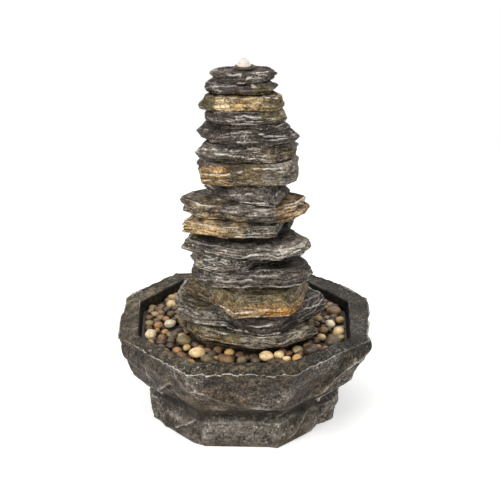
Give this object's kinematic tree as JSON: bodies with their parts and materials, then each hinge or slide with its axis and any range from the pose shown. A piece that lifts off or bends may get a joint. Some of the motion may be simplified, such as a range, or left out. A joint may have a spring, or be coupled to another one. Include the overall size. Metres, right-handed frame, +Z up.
{
  "type": "stacked stone water feature",
  "caption": "Octagonal cast-stone basin with a tower of stacked slate slabs on a riser pipe, a ring of river pebbles and a hidden pump that bubbles water from the top.",
  "frame": {"origin": "middle of the basin's foot, on the riser's axis, on the surface it stands on", "axes": "+Z up along the riser, front of the basin faces -Y, +X to the viewer's right"},
  "size_m": [0.46, 0.46, 0.6925],
  "materials": {
    "cast_stone": "damp, dry-brushed edges",
    "dark_slate": "split, damp",
    "ochre_slate": "split, damp",
    "cream_pebble": "water-worn",
    "tan_pebble": "water-worn",
    "brown_pebble": "water-worn",
    "olive_pebble": "water-worn",
    "black_rubber": "matt",
    "hose_rubber": "satin",
    "black_plastic": "moulded",
    "grey_plastic": "moulded",
    "lamp_resin": "potted",
    "clear_dome": "frosted",
    "spring_steel": "bright",
    "white_ceramic": "polished",
    "dark_magnet": "moulded"
  },
  "bodies": {
    "basin": {"basin_shell": "cast_stone", "cable_grommet": "black_rubber", "riser_hose": "hose_rubber", "hose_clip": "spring_steel", "pump_volute": "black_plastic", "pump_seal": "black_rubber", "pump_body": "black_plastic", "pump_screws": "spring_steel", "rotor_shaft": "white_ceramic", "shaft_bushes": "black_rubber", "suction_feet": "black_rubber"},
    "tray": {"pebble_tray": "black_plastic", "tray_legs": "black_plastic", "pebbles_cream": "cream_pebble", "pebbles_tan": "tan_pebble", "pebbles_brown": "brown_pebble", "pebbles_olive": "olive_pebble"},
    "tower": {"slate_01": "dark_slate", "slate_02": "dark_slate", "slate_03": "dark_slate", "slate_04": "ochre_slate", "slate_05": "dark_slate", "slate_06": "dark_slate", "slate_07": "dark_slate", "slate_08": "dark_slate", "slate_09": "ochre_slate", "slate_10": "dark_slate", "slate_11": "dark_slate", "slate_12": "ochre_slate", "slate_13": "dark_slate", "slate_14": "dark_slate", "slate_15": "dark_slate", "slate_16": "ochre_slate", "slate_17": "dark_slate", "slate_18": "dark_slate", "slate_19": "dark_slate", "riser_pipe": "grey_plastic", "base_washer": "black_rubber", "base_nut": "grey_plastic", "bubbler_nozzle": "clear_dome", "light_ring": "lamp_resin", "bubbler_dome": "clear_dome"},
    "rotor": {"pump_rotor": "dark_magnet"},
    "strainer": {"pump_strainer": "black_plastic"},
    "dial": {"flow_dial": "grey_plastic"}
  },
  "joints": [
    {"name": "tray_lift", "type": "slide", "parent": "basin", "child": "tray", "axis": [0, 0, 1], "range_m": [0, 0.18]},
    {"name": "tower_lift", "type": "slide", "parent": "tray", "child": "tower", "axis": [0, 0, 1], "range_m": [0, 0.1]},
    {"name": "rotor_spin", "type": "hinge", "parent": "basin", "child": "rotor", "pos_m": [0, 0.02, 0.045], "axis": [0, 1, 0], "continuous": true},
    {"name": "strainer_pull", "type": "slide", "parent": "basin", "child": "strainer", "axis": [0, -1, 0], "range_m": [0, 0.03]},
    {"name": "flow_turn", "type": "hinge", "parent": "strainer", "child": "dial", "pos_m": [0, -0.034, 0.045], "axis": [0, -1, 0], "range_deg": [0, 90]}
  ]
}
